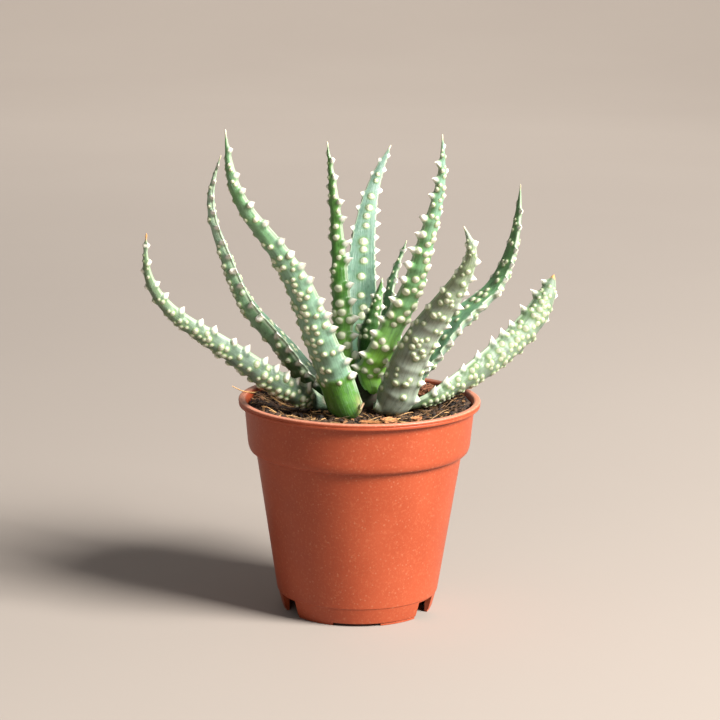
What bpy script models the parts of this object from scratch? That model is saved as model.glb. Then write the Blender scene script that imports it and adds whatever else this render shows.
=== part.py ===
"""Potted aloe: a spiny rosette of eleven fleshy leaves in a tapered nursery pot.

Run with: blender --background --python part.py
Lengths below are millimetres and angles are degrees, turned to metres when a mesh is made.
The origin is the middle of the pot's underside, on the table, and -Y is the front.
"""
import math
import random

import bmesh
import bpy
import numpy as np
from mathutils import Matrix, Vector

MM = 0.001
GAP = 0.3

# Pot
POT_HEIGHT = 80.0
RIM_RADIUS = 45.0
LIP_HEIGHT = 2.4
LIP_FLAT = 1.5
BEAD_GROOVE = 0.35
COLLAR_TOP_RADIUS = 42.8
COLLAR_FOOT_RADIUS = 41.4
COLLAR_FOOT_Z = 62.6
NECK_RADIUS = 38.5
NECK_Z = 60.4
BODY_FOOT_RADIUS = 30.3
BODY_FOOT_Z = 7.3
FOOT_STEP = 0.4
FOOT_RADIUS = 28.4
EDGE_ROUND = 0.4
WALL = 1.1
FLOOR_Z = 5.0
FLOOR_THICKNESS = 1.2
FLOOR_ROUND = 1.2
NOTCHES = 3
NOTCH_ANGLE = 20.0
NOTCH_HEIGHT = 6.6
NOTCH_REACH = 4.5
PAD_HEIGHT = 1.0
PAD_GAP_ANGLE = 36.0
POT_STEPS = 48

# Soil and stem
SOIL_Z = 75.0
SOIL_BUMP = 0.5
SOIL_RINGS = 6
SOIL_STEPS = 40
STEM_CENTRE = (2.0, -2.0)
STEM_RADIUS = 7.0
STEM_SHOULDER_Z = 79.5
STEM_NECK_RADIUS = 4.9
STEM_NECK_Z = 84.0
STEM_TOP_Z = 91.7
STEM_TAIL_Z = 65.0
STEM_FOOT_Z = 50.0
STEM_STEPS = 20

# Leaf form, shared by every leaf
STATION_PITCH = 3.0
ROOT_GAP = 0.45
ROOT_RUN = 2.5
NECK_SHARE = 0.36
TIP_WIDTH = 0.5
TIP_POWER = 0.9
MARGIN_THICKNESS = 0.8
CHANNEL_SHARE = 0.07
TIP_CROWN_SHARE = 0.22
FLESH_SHARE = 0.36
TIP_FLESH_SHARE = 0.42
PATH_SAMPLES = 240

# Teeth and tubercles: sizes on a leaf at least FULL_WIDTH wide, and the stations between them
FULL_WIDTH = 8.0
TOOTH_HEIGHT = 2.6
TOOTH_LEAN = 0.5
TOOTH_SIZES = (0.75, 1.15)
TOOTH_STEPS = (2, 2, 3)
TUBERCLE_HEIGHT = 0.8
TUBERCLE_FOOT = 0.24
TUBERCLE_END = 0.93
OUTER_SHARE = 0.62
OUTER_STEPS = (1, 2, 2)
INNER_SHARE = 1.0
INNER_STEPS = (4, 5, 6)

# Where each whorl of leaves leaves the stem: radius and height
WHORLS = {
    "low": (STEM_RADIUS + ROOT_GAP, STEM_SHOULDER_Z - 0.7),
    "middle": (STEM_NECK_RADIUS + ROOT_GAP + 0.2, STEM_NECK_Z + 0.5),
    "heart": (0.0, STEM_TOP_Z + ROOT_GAP),
}

# Each leaf: its whorl, the bearing of its root on the stem, the bearing that its outer face
# looks to, its greatest width, how blunt its taper is, the length of its narrow neck, the length
# that is bare of teeth and tubercles, its twist at root and tip, its thickness as a share of its
# width where that isn't the usual one, and the points that it grows through. Bearings run from +X (right) through +Y (back).
LEAVES = {
    "leaf_far_left": dict(
        whorl="low", root=192, face=215, width=10.5, taper=1.6, neck=22, bare=14, twist=(45, 50),
        flesh=0.42,
        path=[(-10, -4, 78), (-20, -9, 80.5), (-35, -22, 92), (-51, -33, 106), (-68, -43, 121),
              (-74, -48, 134), (-74, -50, 148)]),
    "leaf_left": dict(
        whorl="low", root=145, face=168, width=13, taper=1.2, neck=14, bare=12, twist=(0, 30),
        flesh=0.58,
        path=[(-8, 4, 79), (-17, 6, 83), (-29, 7, 97), (-42, 10, 112), (-50, 12, 129),
              (-56, 11, 151), (-52, 8, 169)]),
    "leaf_front_left": dict(
        whorl="low", root=248, face=240, width=15.5, taper=1.4, neck=9, bare=20, twist=(0, 0),
        path=[(-5, -15, 77.5), (-8, -17, 83), (-10, -18, 90), (-15, -23, 104), (-22, -31, 125),
              (-34, -40, 146), (-43, -46, 161), (-47, -48, 184)]),
    "leaf_middle_left": dict(
        whorl="middle", root=215, face=235, width=8.5, taper=1.6, neck=12, bare=10, twist=(0, 0),
        path=[(-5, -6, 89), (-7, -5, 98), (-7, -4, 109), (-8, -3, 122), (-9, -1, 137),
              (-11, 1, 160), (-13, 3, 175)]),
    "leaf_back": dict(
        whorl="middle", root=95, face=92, width=13, taper=1.8, neck=12, bare=12, twist=(0, 0),
        path=[(0, 8, 91), (0, 13, 106), (0, 23, 121), (1, 34, 136), (3, 42, 148), (6, 47, 158),
              (11, 51, 169)]),
    "leaf_small": dict(
        whorl="middle", root=15, face=40, width=7, taper=1.5, neck=12, bare=10, twist=(0, 0),
        path=[(9, 1, 98), (10, 5, 108), (11, 9, 118), (13, 12, 126), (17, 16, 137)]),
    "leaf_heart": dict(
        whorl="heart", root=270, face=270, width=8, taper=1.5, neck=12, bare=8, twist=(0, 0),
        path=[(2, -2, 98), (3, -2, 104), (5, -1, 112), (8, 2, 125)]),
    "leaf_middle_right": dict(
        whorl="middle", root=295, face=300, width=12, taper=1.4, neck=12, bare=8, twist=(0, 0),
        path=[(5, -8, 87), (7, -10, 96), (13, -14, 110), (19, -18, 124), (24, -22, 144),
              (28, -25, 164), (28, -26, 181)]),
    "leaf_front_right": dict(
        whorl="low", root=308, face=262, width=14.3, taper=1.7, neck=12, bare=12, twist=(0, 0),
        path=[(9, -11.5, 78), (13, -14, 83), (16, -16, 92), (21, -19, 104), (31, -24.5, 121),
              (37, -27, 132), (39, -28, 139), (36, -29, 149)]),
    "leaf_right": dict(
        whorl="low", root=60, face=35, width=13, taper=1.6, neck=14, bare=12, twist=(8, -5),
        flesh=0.45,
        path=[(9, 7, 80), (21, 7, 88), (30, 10, 98), (39, 15, 108), (50, 21, 117),
              (56, 25, 128), (59, 28, 141), (60, 30, 157)]),
    "leaf_far_right": dict(
        whorl="low", root=5, face=355, width=11, taper=8, neck=40, bare=14, twist=(-20, -85),
        path=[(14, -3, 78), (20, -4, 78), (32, 1, 82), (43, 8, 87), (53, 15, 93.5),
              (63, 22, 102), (70, 28, 112), (74, 33, 122)]),
}

# Around a leaf: how far out each corner lies, and whether it is on the inner (+) or outer (-) face
CORNERS = ((0.45, 1), (-0.45, 1), (-1.0, 1), (-1.0, -1), (-0.7, -1), (0.0, -1), (0.7, -1),
           (1.0, -1), (1.0, 1))
LEFT_MARGIN = 2
RIGHT_MARGIN = 7
OUTER_STRIPS = (3, 4, 5, 6)
INNER_STRIPS = (0,)

# Coir on the soil: centre, size and turn
CHIPS = {
    "coir_chip_front": dict(at=(4.0, -29.0), size=(6.5, 3.2, 2.0), turn=-20),
    "coir_chip_middle": dict(at=(10.5, -25.0), size=(5.0, 4.2, 2.4), turn=35),
    "coir_chip_right": dict(at=(20.5, -23.0), size=(5.5, 2.8, 2.2), turn=70),
}
CHIP_WEAR = 0.8
CLOD_AT = (24.0, 19.0)
CLOD_SIZE = (13.0, 9.0, 7.5)
CLOD_WEAR = 0.8
CLOD_SUNK = 0.3
SMOOTH_ANGLE = 40.0

LOOKS = {
    "pot_plastic": ((0.60, 0.17, 0.07), 0.5),
    "peat": ((0.045, 0.026, 0.016), 0.95),
    "leaf_skin": ((0.30, 0.44, 0.30), 0.55),
    "stem_skin": ((0.30, 0.33, 0.12), 0.7),
    "coir": ((0.36, 0.17, 0.07), 0.9),
}


def material(name):
    """Plain material with the colour and roughness of one of the plant's stuffs."""
    found = bpy.data.materials.get(name)
    if found:
        return found
    colour, roughness = LOOKS[name]
    made = bpy.data.materials.new(name)
    made.use_nodes = True
    shader = made.node_tree.nodes["Principled BSDF"]
    shader.inputs["Base Color"].default_value = (*colour, 1.0)
    shader.inputs["Roughness"].default_value = roughness
    shader.inputs["Metallic"].default_value = 0.0
    return made


def add_object(name, bm, collection, look=None):
    """Turn a bmesh in millimetres into a named object in metres."""
    mesh = bpy.data.meshes.new(name)
    bmesh.ops.scale(bm, vec=(MM, MM, MM), verts=bm.verts)
    bm.to_mesh(mesh)
    bm.free()
    made = bpy.data.objects.new(name, mesh)
    collection.objects.link(made)
    if look:
        mesh.materials.append(material(look))
        mesh.shade_smooth()
        mesh.set_sharp_from_angle(angle=math.radians(SMOOTH_ANGLE))
    return made


def turned(name, profile, steps, collection, look):
    """Revolve a profile of (radius, height) points, which runs down the outer side."""
    bm = bmesh.new()
    corners = [bm.verts.new((r, 0.0, z)) for r, z in profile]
    for a, b in zip(corners, corners[1:]):
        bm.edges.new((a, b))
    made = add_object(name, bm, collection, look)
    screw = made.modifiers.new("turn", "SCREW")
    screw.axis = "Z"
    screw.steps = steps
    screw.render_steps = steps
    screw.use_merge_vertices = True
    screw.merge_threshold = 0.00001
    screw.use_smooth_shade = True
    return made


def apply_modifiers(made):
    """Replace an object's mesh by its evaluated one, for further shaping in code."""
    graph = bpy.context.evaluated_depsgraph_get()
    mesh = bpy.data.meshes.new_from_object(made.evaluated_get(graph))
    made.modifiers.clear()
    made.data = mesh


def wall_radius(z):
    """Outer radius of the pot's wall at a height, without the lip."""
    heights = (0.0, BODY_FOOT_Z, NECK_Z, COLLAR_FOOT_Z, POT_HEIGHT)
    radii = (FOOT_RADIUS, BODY_FOOT_RADIUS, NECK_RADIUS, COLLAR_FOOT_RADIUS, COLLAR_TOP_RADIUS)
    return float(np.interp(z, heights, radii))


def make_pot(collection, cutters):
    """Thin moulded pot with a double-beaded lip, a collar, a tapered body and a notched foot."""
    bead = LIP_HEIGHT / 2
    lip_foot = POT_HEIGHT - LIP_HEIGHT
    floor_top = FLOOR_Z + FLOOR_THICKNESS
    inner_foot = BODY_FOOT_RADIUS - WALL
    shoulder = COLLAR_FOOT_RADIUS - NECK_RADIUS
    shoulder_drop = COLLAR_FOOT_Z - NECK_Z
    profile = [
        (0.0, floor_top),
        (inner_foot - FLOOR_ROUND, floor_top),
        (inner_foot, floor_top + FLOOR_ROUND),
        (NECK_RADIUS - WALL, NECK_Z + WALL),
        (COLLAR_FOOT_RADIUS - WALL, COLLAR_FOOT_Z + WALL),
        (COLLAR_TOP_RADIUS - WALL, lip_foot),
        (RIM_RADIUS - LIP_FLAT - 2 * EDGE_ROUND - WALL, POT_HEIGHT - EDGE_ROUND),
        (RIM_RADIUS - LIP_FLAT - EDGE_ROUND, POT_HEIGHT),
        (RIM_RADIUS - 1.5 * EDGE_ROUND, POT_HEIGHT),
        (RIM_RADIUS, POT_HEIGHT - EDGE_ROUND),
        (RIM_RADIUS, POT_HEIGHT - 0.7 * bead),
        (RIM_RADIUS - BEAD_GROOVE, POT_HEIGHT - bead),
        (RIM_RADIUS, lip_foot + 0.6 * bead),
        (RIM_RADIUS - EDGE_ROUND, lip_foot),
        (COLLAR_TOP_RADIUS, lip_foot),
        (COLLAR_FOOT_RADIUS, COLLAR_FOOT_Z),
        (COLLAR_FOOT_RADIUS - 0.2 * shoulder, COLLAR_FOOT_Z - 0.55 * shoulder_drop),
        (COLLAR_FOOT_RADIUS - 0.55 * shoulder, COLLAR_FOOT_Z - 0.9 * shoulder_drop),
        (NECK_RADIUS + EDGE_ROUND, NECK_Z),
        (NECK_RADIUS, NECK_Z - EDGE_ROUND),
        (BODY_FOOT_RADIUS, BODY_FOOT_Z),
        (BODY_FOOT_RADIUS - FOOT_STEP, BODY_FOOT_Z - FOOT_STEP / 2),
        (FOOT_RADIUS, EDGE_ROUND),
        (FOOT_RADIUS - EDGE_ROUND, 0.0),
        (FOOT_RADIUS - WALL, 0.0),
        (FOOT_RADIUS - WALL, FLOOR_Z),
        (0.0, FLOOR_Z),
    ]
    pot = turned("pot", profile, POT_STEPS, collection, "pot_plastic")
    foot_cut = bmesh.new()
    reach = RIM_RADIUS
    inner_reach = FOOT_RADIUS - NOTCH_REACH
    for k in range(NOTCHES):
        around = k * 360.0 / NOTCHES
        # A notch beside each foot, and a shallow gap that splits the foot into two pads
        for bearing, angle, top in (
            (around - 90.0 + 180.0 / NOTCHES, NOTCH_ANGLE, NOTCH_HEIGHT),
            (around - 90.0, PAD_GAP_ANGLE, PAD_HEIGHT),
        ):
            width = 2.0 * FOOT_RADIUS * math.sin(math.radians(angle / 2))
            box = (
                Matrix.Rotation(math.radians(bearing), 4, "Z")
                @ Matrix.Translation(((reach + inner_reach) / 2, 0.0, 0.0))
                @ Matrix.Diagonal((reach - inner_reach, width, 2.0 * top, 1.0))
            )
            bmesh.ops.create_cube(foot_cut, size=1.0, matrix=box)
    cutter = add_object("foot_cutter", foot_cut, cutters)
    cutter.display_type = "WIRE"
    cutter.hide_render = True
    cut = pot.modifiers.new("foot notches", "BOOLEAN")
    cut.operation = "DIFFERENCE"
    cut.solver = "EXACT"
    cut.object = cutter
    return pot


def make_soil(collection):
    """Peat that fills the pot to just under the rim, with a plain hole for the stem."""
    hole = STEM_RADIUS + GAP
    clear = WALL + GAP
    floor = FLOOR_Z + FLOOR_THICKNESS + GAP
    edge = wall_radius(SOIL_Z) - clear
    hole_foot = STEM_FOOT_Z - GAP
    profile = [(0.0, hole_foot), (hole, hole_foot)]
    profile += [(hole + (edge - hole) * k / SOIL_RINGS, SOIL_Z) for k in range(SOIL_RINGS + 1)]
    profile += [
        (COLLAR_FOOT_RADIUS - clear, COLLAR_FOOT_Z + clear),
        (NECK_RADIUS - clear - GAP / 2, NECK_Z + clear),
        (BODY_FOOT_RADIUS - clear - GAP / 2, floor + FLOOR_ROUND),
        (BODY_FOOT_RADIUS - clear - FLOOR_ROUND, floor),
        (0.0, floor),
    ]
    soil = turned("soil", profile, SOIL_STEPS, collection, "peat")
    apply_modifiers(soil)
    # The hole goes down beside the pot's axis, where the stem stands, and the top is uneven
    rng = random.Random(7)
    near = 0.1
    for vertex in soil.data.vertices:
        x, y, z = vertex.co / MM
        r = math.hypot(x, y)
        on_top = z > SOIL_Z - near
        in_hole = r < hole + near and z > hole_foot - near
        if on_top or in_hole:
            share = min(1.0, (edge - r) / (edge - hole))
            x += STEM_CENTRE[0] * share
            y += STEM_CENTRE[1] * share
        if on_top and hole + near < r < edge - near:
            z += rng.uniform(-SOIL_BUMP, SOIL_BUMP)
        vertex.co = Vector((x, y, z)) * MM
    return soil


def make_stem(collection):
    """Stubby stem, nearly hidden by the leaf bases."""
    crown = STEM_NECK_RADIUS / 3
    profile = [
        (0.0, STEM_TOP_Z),
        (crown, STEM_TOP_Z - 0.1 * crown),
        (2 * crown, STEM_TOP_Z - crown),
        (STEM_NECK_RADIUS - EDGE_ROUND, STEM_NECK_Z + 3 * WALL),
        (STEM_NECK_RADIUS, STEM_NECK_Z),
        (STEM_RADIUS - EDGE_ROUND, STEM_SHOULDER_Z + WALL),
        (STEM_RADIUS, STEM_SHOULDER_Z),
        (STEM_RADIUS, STEM_TAIL_Z),
        (STEM_NECK_RADIUS, STEM_FOOT_Z),
        (0.0, STEM_FOOT_Z),
    ]
    stem = turned("stem", profile, STEM_STEPS, collection, "stem_skin")
    stem.location = (STEM_CENTRE[0] * MM, STEM_CENTRE[1] * MM, 0.0)
    return stem


def smooth_path(points, samples=PATH_SAMPLES):
    """Natural cubic spline through the points, sampled at even lengths, and its length."""
    knots = np.array(points, float)
    chords = np.linalg.norm(np.diff(knots, axis=0), axis=1)
    t = np.concatenate([[0.0], np.cumsum(chords)])
    n = len(knots)
    system = np.eye(n)
    right = np.zeros((n, 3))
    for i in range(1, n - 1):
        before, after = chords[i - 1], chords[i]
        system[i, i - 1:i + 2] = before, 2 * (before + after), after
        right[i] = 6 * ((knots[i + 1] - knots[i]) / after - (knots[i] - knots[i - 1]) / before)
    bend = np.linalg.solve(system, right)
    x = np.linspace(0.0, t[-1], samples)
    k = np.clip(np.searchsorted(t, x) - 1, 0, n - 2)
    h = chords[k][:, None]
    a = (t[k + 1] - x)[:, None]
    b = (x - t[k])[:, None]
    curve = (bend[k] * a ** 3 + bend[k + 1] * b ** 3) / (6 * h)
    curve += (knots[k] / h - bend[k] * h / 6) * a + (knots[k + 1] / h - bend[k + 1] * h / 6) * b
    steps = np.linalg.norm(np.diff(curve, axis=0), axis=1)
    s = np.concatenate([[0.0], np.cumsum(steps)])
    even = np.linspace(0.0, s[-1], samples)
    return np.stack([np.interp(even, s, curve[:, i]) for i in range(3)], axis=1), float(s[-1])


class LeafForm:
    """A leaf's centre line, its frames and its section, as functions of the share of its length."""

    def __init__(self, whorl, root, face, width, taper, neck, bare, twist, path,
                 flesh=FLESH_SHARE):
        radius, height = WHORLS[whorl]
        turn = math.radians(root)
        outward = np.array([math.cos(turn), math.sin(turn), 0.0])
        start = np.array([*STEM_CENTRE, height]) + radius * outward
        leaving = outward if radius else np.array([0.0, 0.0, 1.0])
        self.centre, self.length = smooth_path([start, start + leaving * ROOT_RUN] + path)
        self.width = width
        self.taper = taper
        self.neck = neck
        self.bare = bare
        self.flesh = flesh
        looks = math.radians(face)
        side = np.array([-math.sin(looks), math.cos(looks), 0.0])
        along = np.gradient(self.centre, axis=0)
        along /= np.linalg.norm(along, axis=1)[:, None]
        across = side - (along @ side)[:, None] * along
        across /= np.linalg.norm(across, axis=1)[:, None]
        inward = np.cross(along, across)
        angle = np.radians(np.linspace(twist[0], twist[1], len(along)))[:, None]
        self.across = across * np.cos(angle) + inward * np.sin(angle)
        self.inward = inward * np.cos(angle) - across * np.sin(angle)

    def at(self, rows, u):
        """Value of one of the leaf's rows at a share u of its length."""
        place = u * (len(rows) - 1)
        k = min(int(place), len(rows) - 2)
        return rows[k] + (rows[k + 1] - rows[k]) * (place - k)

    def width_at(self, u):
        """Width from margin to margin, narrow at the neck and tapering to the tip."""
        grown = min(1.0, u * self.length / self.neck)
        neck = NECK_SHARE + (1.0 - NECK_SHARE) * grown * grown * (3.0 - 2.0 * grown)
        return max(TIP_WIDTH, self.width * neck * (1.0 - u ** self.taper) ** TIP_POWER)

    def point(self, u, out, side):
        """Corner of the section: out from -1 to 1 across, on the inner (+1) or outer (-1) face."""
        w = self.width_at(u)
        near_tip = u ** 3
        channel = w * (CHANNEL_SHARE * (1 - near_tip) - TIP_CROWN_SHARE * near_tip)
        flesh = w * (self.flesh * (1 - near_tip) + TIP_FLESH_SHARE * near_tip)
        edge = min(MARGIN_THICKNESS, 0.3 * w) / 2
        if side > 0:
            depth = edge - channel * (1 - out * out)
        else:
            depth = -edge - flesh * (1 - abs(out) ** 2.2) ** 0.75
        depth += (channel + flesh) / 2
        sideways = self.at(self.across, u) * (out * w / 2)
        return self.at(self.centre, u) + sideways + self.at(self.inward, u) * depth

    def forward(self, u):
        """Direction of growth at a share u of the length."""
        ahead = min(1.0, u + 1.0 / PATH_SAMPLES)
        step = self.at(self.centre, ahead) - self.at(self.centre, u)
        return step / np.linalg.norm(step)


def leaf_tube(form, stations):
    """Closed tube with a ring of corners at each station, and its vertices by station and corner."""
    sides = len(CORNERS)
    bm = bmesh.new()
    bmesh.ops.create_cone(
        bm, cap_ends=True, segments=sides, radius1=1.0, radius2=1.0, depth=1.0)
    uprights = [e for e in bm.edges if abs(e.verts[0].co.z - e.verts[1].co.z) > 0.5]
    bmesh.ops.subdivide_edges(bm, edges=uprights, cuts=stations - 1, use_grid_fill=True)
    grid = {}
    for vertex in bm.verts:
        corner = round(math.atan2(vertex.co.y, vertex.co.x) / math.tau * sides) % sides
        grid[round((vertex.co.z + 0.5) * stations), corner] = vertex
    for (row, corner), vertex in grid.items():
        vertex.co = form.point(row / stations, *CORNERS[corner])
    return bm, grid


def quad(grid, row, strip):
    """Face of a leaf between two stations and two corners."""
    wanted = {grid[row, strip], grid[row + 1, (strip + 1) % len(CORNERS)]}
    return next(f for f in grid[row, strip].link_faces if wanted <= set(f.verts))


def size_at(form, u):
    """Share of full size that a tooth or tubercle has at a place on the leaf."""
    return min(1.0, form.width_at(u) / FULL_WIDTH)


def raise_tooth(bm, form, face, u, way, size):
    """Deltoid tooth on a quad of the margin, leaning towards the tip."""
    height = TOOTH_HEIGHT * size * (0.3 + 0.7 * size_at(form, u))
    tip = bmesh.ops.poke(bm, faces=[face])["verts"][0]
    tip.co += Vector(form.at(form.across, u) * way + form.forward(u) * TOOTH_LEAN) * height


def raise_tubercle(bm, form, face, u):
    """Low pointed bump on a quad of the skin."""
    foot = TUBERCLE_FOOT * min(e.calc_length() for e in face.edges)
    bmesh.ops.inset_individual(bm, faces=[face], thickness=foot, depth=0.0)
    normal = face.normal.copy()
    top = bmesh.ops.poke(bm, faces=[face])["verts"][0]
    top.co += normal * TUBERCLE_HEIGHT * size_at(form, u)


def make_leaf(name, shape, seed, collection):
    """One leaf: a tube along its path, with teeth on both margins and tubercles on both faces."""
    form = LeafForm(**shape)
    stations = round(form.length / STATION_PITCH)
    bare_rows = round(form.bare / STATION_PITCH)
    bm, grid = leaf_tube(form, stations)
    rng = random.Random(seed)
    teeth = []
    for strip, way in ((LEFT_MARGIN, -1), (RIGHT_MARGIN, 1)):
        row = bare_rows + rng.randint(0, 1)
        while row < stations - 1:
            u = (row + 0.5) / stations
            teeth.append((quad(grid, row, strip), u, way, rng.uniform(*TOOTH_SIZES)))
            row += rng.choice(TOOTH_STEPS)
    tubercles = []
    for strips, share, steps in (
        (OUTER_STRIPS, OUTER_SHARE, OUTER_STEPS),
        (INNER_STRIPS, INNER_SHARE, INNER_STEPS),
    ):
        row = bare_rows
        while row < TUBERCLE_END * stations:
            chosen = [strip for strip in strips if rng.random() < share]
            tubercles += [(quad(grid, row, strip), row / stations) for strip in chosen]
            row += rng.choice(steps)
    for face, u, way, size in teeth:
        raise_tooth(bm, form, face, u, way, size)
    for face, u in tubercles:
        raise_tubercle(bm, form, face, u)
    bmesh.ops.recalc_face_normals(bm, faces=bm.faces)
    return add_object(name, bm, collection, "leaf_skin")


def settle(bm, at):
    """Move a loose piece to its place on the soil, just clear of the highest bumps."""
    lift = SOIL_Z + SOIL_BUMP + GAP - min(v.co.z for v in bm.verts)
    bmesh.ops.translate(bm, vec=(at[0], at[1], lift), verts=bm.verts)


def make_chip(name, at, size, turn, seed, collection):
    """Broken chip of coconut husk that lies on the soil."""
    rng = random.Random(seed)
    bm = bmesh.new()
    bmesh.ops.create_cube(bm, size=1.0)
    bmesh.ops.subdivide_edges(bm, edges=bm.edges, cuts=1, use_grid_fill=True)
    spin = Matrix.Rotation(math.radians(turn), 3, "Z")
    for vertex in bm.verts:
        corner = Vector(v * s * rng.uniform(CHIP_WEAR, 1.0) for v, s in zip(vertex.co, size))
        vertex.co = spin @ corner
    settle(bm, at)
    return add_object(name, bm, collection, "coir")


def make_clod(collection):
    """Reddish clod of coir behind the right-hand leaves."""
    rng = random.Random(31)
    bm = bmesh.new()
    bmesh.ops.create_icosphere(bm, subdivisions=2, radius=0.5)
    for vertex in bm.verts:
        bulge = rng.uniform(CLOD_WEAR, 1.0)
        vertex.co = Vector(v * s * bulge for v, s in zip(vertex.co, CLOD_SIZE))
        vertex.co.z = max(vertex.co.z, -CLOD_SUNK * CLOD_SIZE[2])
    settle(bm, CLOD_AT)
    return add_object("coir_clod", bm, collection, "coir")


def main():
    for old in list(bpy.data.objects):
        bpy.data.objects.remove(old, do_unlink=True)
    plant = bpy.data.collections.new("potted_aloe")
    cutters = bpy.data.collections.new("cutters")
    for collection in (plant, cutters):
        bpy.context.scene.collection.children.link(collection)
    make_pot(plant, cutters)
    make_soil(plant)
    make_stem(plant)
    for seed, (name, shape) in enumerate(LEAVES.items(), start=1):
        make_leaf(name, shape, seed, plant)
    for seed, (name, chip) in enumerate(CHIPS.items(), start=41):
        make_chip(name, seed=seed, collection=plant, **chip)
    make_clod(plant)


main()
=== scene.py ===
"""Potted aloe: the finished leaves, crown, peat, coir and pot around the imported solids.

Lengths are millimetres until a mesh is stored, unless a comment says metres, and angles are
degrees. -Y is the front.
"""
import math
import random

import bmesh
import bpy
import numpy as np
from mathutils import Euler, Matrix, Vector, noise


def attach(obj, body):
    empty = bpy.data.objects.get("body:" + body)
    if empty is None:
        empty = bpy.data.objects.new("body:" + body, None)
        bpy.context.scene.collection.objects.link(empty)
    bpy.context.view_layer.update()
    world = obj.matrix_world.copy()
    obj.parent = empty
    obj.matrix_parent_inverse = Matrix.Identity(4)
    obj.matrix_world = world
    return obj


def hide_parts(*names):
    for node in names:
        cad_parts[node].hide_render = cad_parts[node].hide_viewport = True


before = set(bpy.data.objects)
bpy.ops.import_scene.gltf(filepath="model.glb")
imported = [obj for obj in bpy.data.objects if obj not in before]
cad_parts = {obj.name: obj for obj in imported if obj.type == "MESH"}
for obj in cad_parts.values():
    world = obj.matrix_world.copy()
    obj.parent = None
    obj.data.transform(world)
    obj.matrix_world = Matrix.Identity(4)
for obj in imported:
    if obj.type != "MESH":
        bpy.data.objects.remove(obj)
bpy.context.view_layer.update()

MM = 0.001
DECIMETRE = 100.0
ROOT = "root"

# Camera, fitted to the photograph's rim, collar and foot
CAMERA_AT = (0.0, -800.0, 257.0)
CAMERA_PITCH = 11.5
CAMERA_ROLL = 0.7
CAMERA_LENS = 110.0
CAMERA_SENSOR = 36.0

# Pot
POT_HEIGHT = 80.0
RIM_RADIUS = 45.0
LIP_HEIGHT = 2.4
BEAD_GROOVE = 0.3
COLLAR_TOP_RADIUS = 42.8
COLLAR_FOOT_RADIUS = 41.4
COLLAR_FOOT_Z = 62.6
NECK_RADIUS = 38.5
NECK_Z = 60.4
BODY_FOOT_RADIUS = 30.3
BODY_FOOT_Z = 7.3
FOOT_STEP = 0.35
FOOT_RADIUS = 28.4
WALL = 1.1
FLOOR_Z = 5.0
FLOOR_THICKNESS = 1.2
NOTCHES = 3
NOTCH_ANGLE = 20.0
NOTCH_HEIGHT = 6.6
NOTCH_REACH = 4.5
PAD_HEIGHT = 1.0
PAD_INSET = 0.45
PAD_GAP_ANGLE = 36.0
POT_STEPS = 180
POT_CREASE = 35.0
# Heights between which the rim's top is painted paler, in metres: painted highlight along the edge,
# partly wear
RIM_HIGHLIGHT_AND_WEAR = (0.0793, 0.0799)
TERRACOTTA = (0.31, 0.048, 0.014)
TERRACOTTA_LIGHT = (0.35, 0.060, 0.019)

# Peat
SOIL_Z = 75.0
SOIL_RINGS = 64
SOIL_STEPS = 220
EDGE_DIP = 0.4
STEM_HEAP = 2.6
STEM_HEAP_REACH = 11.0
RIM_HEAP = 2.9
RIM_HEAP_FROM = 30.0
RIM_HEAP_RUN = 8.0
PEAT_BLACK = (0.007, 0.0035, 0.002)
PEAT_BROWN = (0.024, 0.011, 0.0045)
# Lumps of the peat's top as (height, spread)
LUMPS = ((0.5, 11.0), (0.55, 3.2), (0.3, 1.1))
STEM_CENTRE = (2.0, -2.0)
STEM_RADIUS = 7.0
STEM_SHOULDER_Z = 79.5
STEM_NECK_RADIUS = 4.9
STEM_NECK_Z = 84.0
STEM_TOP_Z = 91.7
STEM_TAIL_Z = 65.0
STEM_FOOT_Z = 50.0
STEM_STEPS = 64
GAP = 0.3

# Leaf form, as in the solids
STATION_PITCH = 3.0
ROOT_GAP = 0.45
ROOT_RUN = 2.5
NECK_SHARE = 0.36
TIP_WIDTH = 0.5
TIP_POWER = 0.9
MARGIN_THICKNESS = 0.8
CHANNEL_SHARE = 0.07
TIP_CROWN_SHARE = 0.22
FLESH_SHARE = 0.36
TIP_FLESH_SHARE = 0.42
PATH_SAMPLES = 240
WHORLS = {
    "low": (STEM_RADIUS + ROOT_GAP, STEM_SHOULDER_Z - 0.7),
    "middle": (STEM_NECK_RADIUS + ROOT_GAP + 0.2, STEM_NECK_Z + 0.5),
    "heart": (0.0, STEM_TOP_Z + ROOT_GAP),
}

# Leaf skin: the fineness of its mesh, its teeth and its tubercles
ROW_PITCH = 0.34
INNER_COLUMNS = 32
MARGIN_COLUMNS = 5
OUTER_COLUMNS = 60
COSINE_SHARE = 0.45
FULL_WIDTH = 8.0
LEAST_GROWTH = 0.34
GROWTH_RANGE = 0.66
TOOTH_HEIGHT = 3.3
TOOTH_HALF_BASE = 1.9
TOOTH_POINT = 0.66
TOOTH_SHOULDER = 2.6
TOOTH_LEAN = 0.35
TOOTH_REACH = 1.3
TOOTH_SIZES = (0.75, 1.15)
TOOTH_STEPS = (2, 2, 3)
SCALLOP = 0.6
TUBERCLE_RADIUS = 1.58
TUBERCLE_HEIGHT = 0.74
TUBERCLE_POINT = 0.25
TUBERCLE_FOOT = 0.12
TUBERCLE_LEAN = 0.3
TUBERCLE_END = 0.93
TUBERCLE_ROWS = 22
SPACING = 0.80
TRIES = 7
THINNING = 0.8
THINNING_RUN = 0.12
HALO_SPREAD = 1.5
FOOT_SPREAD = 1.6
BAND_SWELL = 0.35
BAND_SPREAD = 1.4
RIPPLE = 0.3
RIPPLE_SPREAD = 5.0
RIPPLE_STEP = 4
CLOSING = 0.8
OUTER_PLACES = (-0.85, -0.35, 0.35, 0.85)
OUTER_SHARE = 0.62
OUTER_STEPS = (1, 2, 2)
INNER_PLACES = (0.0,)
INNER_SHARE = 1.0
INNER_STEPS = (4, 5, 6)
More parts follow.
